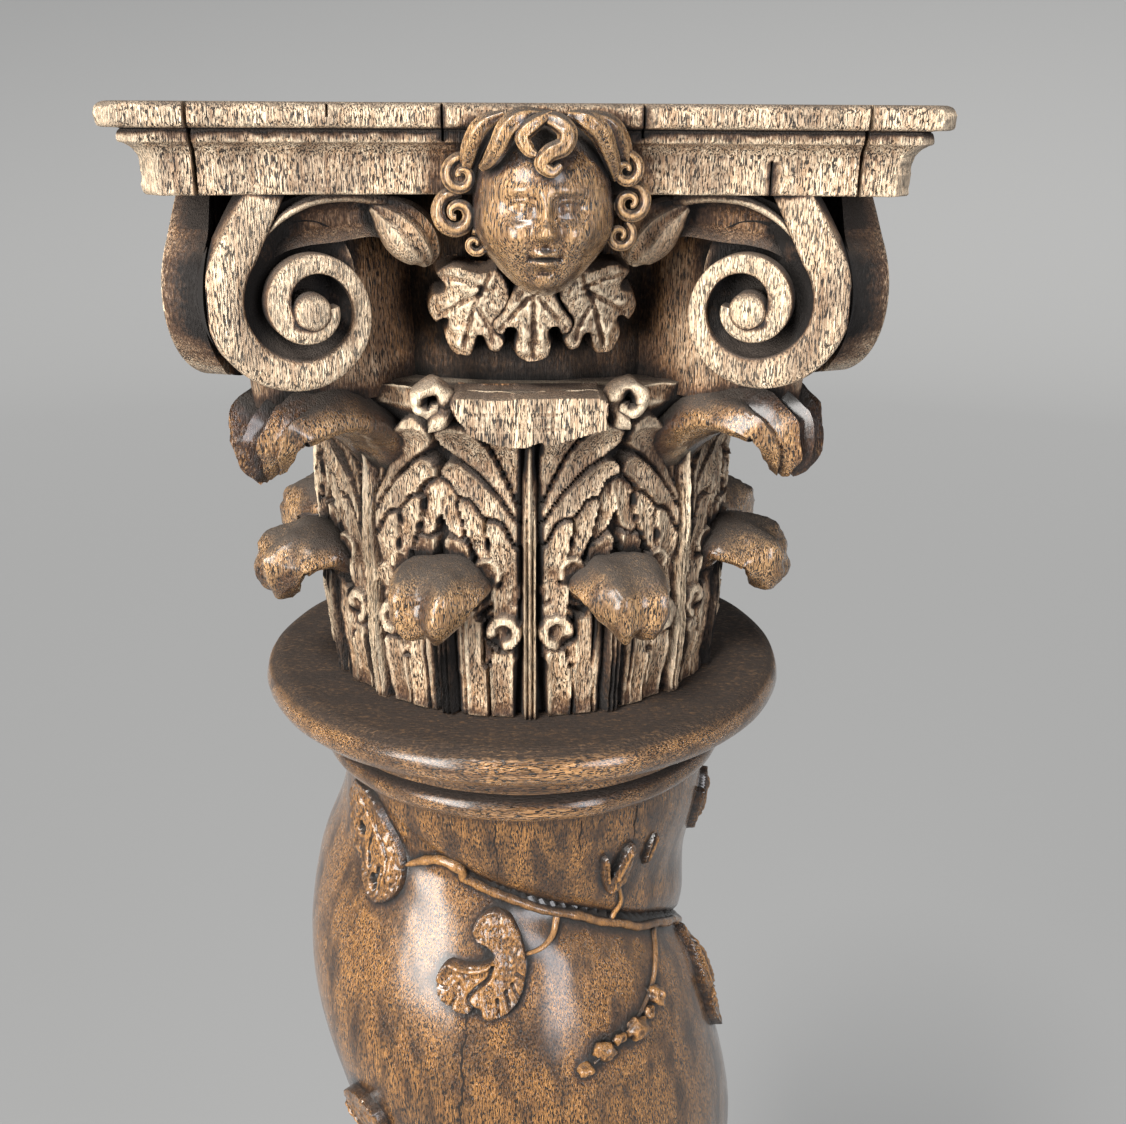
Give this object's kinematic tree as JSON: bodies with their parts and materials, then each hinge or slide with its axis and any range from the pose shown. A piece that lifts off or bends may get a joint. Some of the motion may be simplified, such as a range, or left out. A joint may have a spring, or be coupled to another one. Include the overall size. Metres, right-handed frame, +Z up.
{
  "type": "column",
  "caption": "Carved oak barley twist column: moulded square slab with child mask, corner volutes, acanthus bell, turned collar, vine-wrapped twisted shaft, turned base and square plinth",
  "frame": {"origin": "middle of the plinth's underside, on the column's axis", "axes": "+Z up along the column, -Y the front with the mask, +X the viewer's right"},
  "size_m": [0.33, 0.33, 1.85],
  "materials": {
    "dry_oak": "dry carved oak, pale on the ridges and dark in the hollows",
    "waxed_oak": "old waxed oak, worn to a low shine"
  },
  "bodies": {
    "root": {"capital_core": "dry_oak", "capital_left_cheek": "dry_oak", "capital_right_cheek": "dry_oak", "collar": "waxed_oak", "shaft": "waxed_oak", "base_moulding": "waxed_oak", "plinth": "waxed_oak"}
  },
  "joints": []
}
